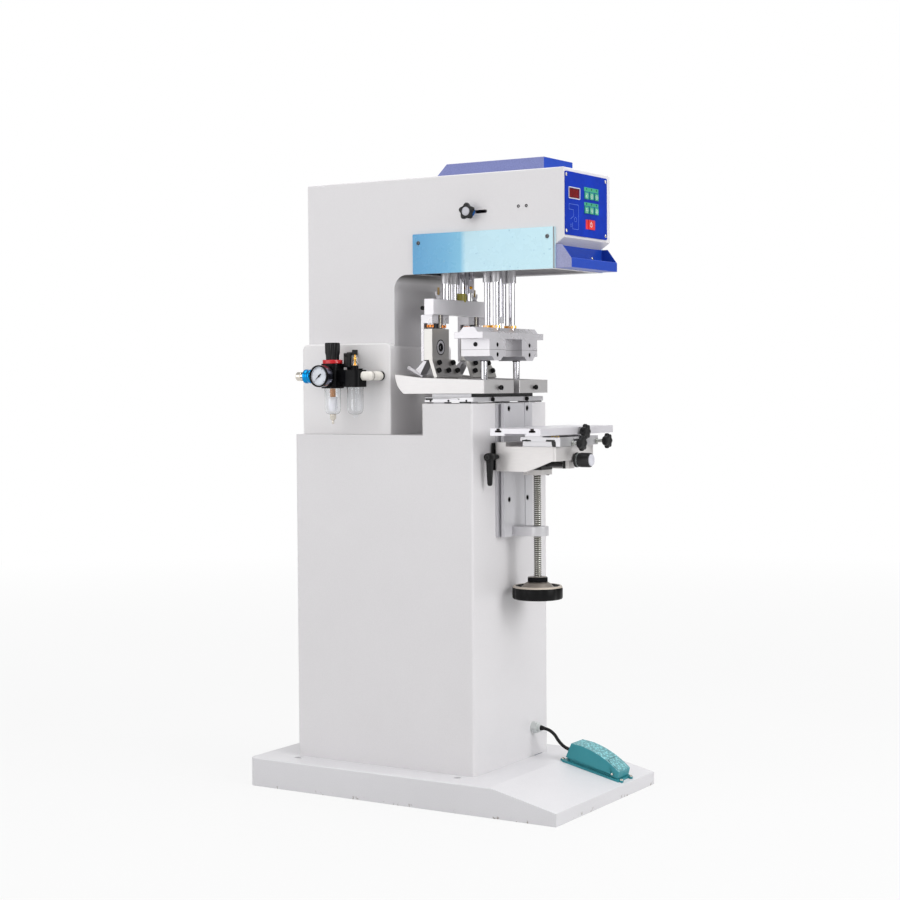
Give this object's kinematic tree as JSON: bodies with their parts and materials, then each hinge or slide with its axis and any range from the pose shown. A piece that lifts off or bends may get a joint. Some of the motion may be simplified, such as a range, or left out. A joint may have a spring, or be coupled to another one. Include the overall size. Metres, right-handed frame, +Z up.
{
  "type": "pad printing machine",
  "caption": "Floor-standing pneumatic pad printing machine: column, overhanging head with pad and doctor heads, open ink trays, and a worktable raised by a handwheel.",
  "frame": {"origin": "centre of the base's footprint, on the floor", "axes": "+Z up, -Y towards the operator at the front, +X across the machine towards the foot switch's side"},
  "size_m": [0.414, 0.7, 1.2316],
  "materials": {
    "light_paint": "satin",
    "base_paint": "satin",
    "tray_blue": "satin",
    "blue_film": "gloss",
    "panel_blue": "satin",
    "display_red": "gloss",
    "key_green": "satin",
    "key_red": "satin",
    "bare_aluminium": "satin",
    "bright_steel": "polished",
    "chrome_rod": "polished",
    "black_plastic": "satin",
    "urethane": "matte",
    "black_rubber": "matte",
    "polished_plate": "polished",
    "brass": "polished",
    "clear_bowl": "gloss",
    "pedal_teal": "textured",
    "gland_grey": "satin"
  },
  "bodies": {
    "frame": {"base_plate": "base_paint", "column": "light_paint", "rear_cover": "light_paint", "lower_casing": "light_paint", "housing": "light_paint", "side_covers": "blue_film", "top_tray": "tray_blue", "front_tray": "tray_blue", "control_panel": "panel_blue", "display_window": "display_red", "carriage_drive": "bright_steel", "tray_bracket": "bare_aluminium", "tray_carrier": "black_plastic", "ink_tray_left": "bare_aluminium", "ink_tray_right": "bare_aluminium", "etched_plates": "polished_plate", "slide_rail": "bright_steel", "nut_bracket": "bare_aluminium", "air_unit_body": "black_plastic", "air_bowls": "clear_bowl", "air_fittings": "chrome_rod", "pressure_gauge": "black_plastic", "pedal_base": "pedal_teal", "cable_gland": "gland_grey", "pedal_cable": "black_rubber"},
    "carriage": {"carriage": "bare_aluminium"},
    "pad_head": {"pad_plate": "bare_aluminium", "pad_guide_rods": "chrome_rod", "pad_holders": "bare_aluminium", "pad_spindles": "bright_steel"},
    "doctor_head": {"crossbar": "bare_aluminium", "doctor_guide_rods": "chrome_rod", "bumper": "urethane", "wing_studs": "black_plastic", "blade_hangers": "bare_aluminium"},
    "blade_left": {"blade_block_left": "bare_aluminium"},
    "blade_right": {"blade_block_right": "bare_aluminium"},
    "knee": {"knee": "bare_aluminium", "slide_guide": "bright_steel"},
    "lift_wheel": {"lifting_screw": "bright_steel", "handwheel": "black_plastic"},
    "clamp_lever": {"clamp_lever": "black_plastic"},
    "cross_slide": {"cross_slide": "bright_steel"},
    "gib_lock_knob": {"gib_lock_knob": "black_plastic"},
    "slide_lock_knob": {"slide_lock_knob": "black_plastic"},
    "worktable": {"worktable": "bright_steel"},
    "table_lock_knob": {"table_lock_knob": "black_plastic"},
    "feed_dial": {"feed_dial": "black_plastic"},
    "stop_stud": {"stop_stud": "bright_steel"},
    "stop_knob": {"stop_knob": "black_plastic"},
    "regulator_knob": {"regulator_knob": "black_plastic"},
    "oil_cap": {"oil_cap": "black_plastic"},
    "stop_key": {"stop_key": "key_red"},
    "treadle": {"treadle": "pedal_teal"},
    "key_1": {"key_1": "key_green"},
    "key_2": {"key_2": "key_green"},
    "key_3": {"key_3": "key_green"},
    "key_4": {"key_4": "key_green"},
    "key_5": {"key_5": "key_green"},
    "key_6": {"key_6": "key_green"}
  },
  "joints": [
    {"name": "carriage_stroke", "type": "slide", "parent": "frame", "child": "carriage", "axis": [0, -1, 0], "range_m": [0, 0.095]},
    {"name": "pad_lift", "type": "slide", "parent": "carriage", "child": "pad_head", "axis": [0, 0, 1], "range_m": [0, 0.08]},
    {"name": "doctor_lift", "type": "slide", "parent": "carriage", "child": "doctor_head", "axis": [0, 0, 1], "range_m": [0, 0.02]},
    {"name": "blade_left_level", "type": "hinge", "parent": "doctor_head", "child": "blade_left", "pos_m": [-0.0685, -0.015, 0.8756], "axis": [0, 1, 0], "range_deg": [-1.5, 1.5]},
    {"name": "blade_right_level", "type": "hinge", "parent": "doctor_head", "child": "blade_right", "pos_m": [0.0685, -0.015, 0.8756], "axis": [0, 1, 0], "range_deg": [-1.5, 1.5]},
    {"name": "knee_lift", "type": "slide", "parent": "frame", "child": "knee", "axis": [0, 0, 1], "range_m": [-0.09, 0.06]},
    {"name": "lift_wheel_spin", "type": "hinge", "parent": "knee", "child": "lift_wheel", "pos_m": [0, -0.2, 0.42], "axis": [0, 0, 1], "range_deg": [-8100, 5400]},
    {"name": "clamp_lever_turn", "type": "hinge", "parent": "knee", "child": "clamp_lever", "pos_m": [-0.108, -0.157, 0.6645], "axis": [-1, 0, 0], "range_deg": [0, 80]},
    {"name": "feed_dial_spin", "type": "hinge", "parent": "knee", "child": "feed_dial", "pos_m": [0, -0.3, 0.6574], "axis": [0, 1, 0], "range_deg": [-1440, 1440]},
    {"name": "cross_slide_feed", "type": "slide", "parent": "knee", "child": "cross_slide", "axis": [0, 1, 0], "range_m": [-0.008, 0.008]},
    {"name": "gib_lock_turn", "type": "hinge", "parent": "cross_slide", "child": "gib_lock_knob", "pos_m": [0.07, -0.3, 0.6924], "axis": [0, 1, 0], "range_deg": [0, 180]},
    {"name": "slide_lock_turn", "type": "hinge", "parent": "cross_slide", "child": "slide_lock_knob", "pos_m": [-0.0288, -0.3, 0.6904], "axis": [0, 1, 0], "range_deg": [0, 180]},
    {"name": "table_slide", "type": "slide", "parent": "cross_slide", "child": "worktable", "axis": [1, 0, 0], "range_m": [-0.015, 0.015]},
    {"name": "table_lock_turn", "type": "hinge", "parent": "worktable", "child": "table_lock_knob", "pos_m": [0.0116, -0.295, 0.7115], "axis": [0, 1, 0], "range_deg": [0, 180]},
    {"name": "stroke_stop_slide", "type": "slide", "parent": "frame", "child": "stop_stud", "axis": [0, -1, 0], "range_m": [0, 0.03]},
    {"name": "stroke_stop_turn", "type": "hinge", "parent": "stop_stud", "child": "stop_knob", "pos_m": [-0.105, -0.112, 1.132], "axis": [1, 0, 0], "range_deg": [0, 180]},
    {"name": "regulator_turn", "type": "hinge", "parent": "frame", "child": "regulator_knob", "pos_m": [-0.155, 0.173, 0.87], "axis": [0, 0, 1], "range_deg": [-720, 720]},
    {"name": "oil_cap_turn", "type": "hinge", "parent": "frame", "child": "oil_cap", "pos_m": [-0.155, 0.1195, 0.867], "axis": [0, 0, 1], "range_deg": [0, 720]},
    {"name": "key_1_press", "type": "slide", "parent": "frame", "child": "key_1", "axis": [0, 1, 0], "range_m": [0, 0.0008], "stiffness_N_per_m": 400, "springref_m": -0.0005},
    {"name": "key_2_press", "type": "slide", "parent": "frame", "child": "key_2", "axis": [0, 1, 0], "range_m": [0, 0.0008], "stiffness_N_per_m": 400, "springref_m": -0.0005},
    {"name": "key_3_press", "type": "slide", "parent": "frame", "child": "key_3", "axis": [0, 1, 0], "range_m": [0, 0.0008], "stiffness_N_per_m": 400, "springref_m": -0.0005},
    {"name": "key_4_press", "type": "slide", "parent": "frame", "child": "key_4", "axis": [0, 1, 0], "range_m": [0, 0.0008], "stiffness_N_per_m": 400, "springref_m": -0.0005},
    {"name": "key_5_press", "type": "slide", "parent": "frame", "child": "key_5", "axis": [0, 1, 0], "range_m": [0, 0.0008], "stiffness_N_per_m": 400, "springref_m": -0.0005},
    {"name": "key_6_press", "type": "slide", "parent": "frame", "child": "key_6", "axis": [0, 1, 0], "range_m": [0, 0.0008], "stiffness_N_per_m": 400, "springref_m": -0.0005},
    {"name": "stop_key_press", "type": "slide", "parent": "frame", "child": "stop_key", "axis": [0, 1, 0], "range_m": [0, 0.0008], "stiffness_N_per_m": 400, "springref_m": -0.0005},
    {"name": "treadle_press", "type": "hinge", "parent": "frame", "child": "treadle", "pos_m": [0.099, -0.3227, 0.0416], "axis": [-1, 0, 0], "range_deg": [0, 3.3], "stiffness_Nm_per_rad": 3, "springref_deg": -11.46}
  ],
  "couplings": [
    {"joint": "lift_wheel_spin", "follows": "knee_lift", "rad_per_m": 1570.8},
    {"joint": "feed_dial_spin", "follows": "cross_slide_feed", "rad_per_m": 3141.6}
  ]
}
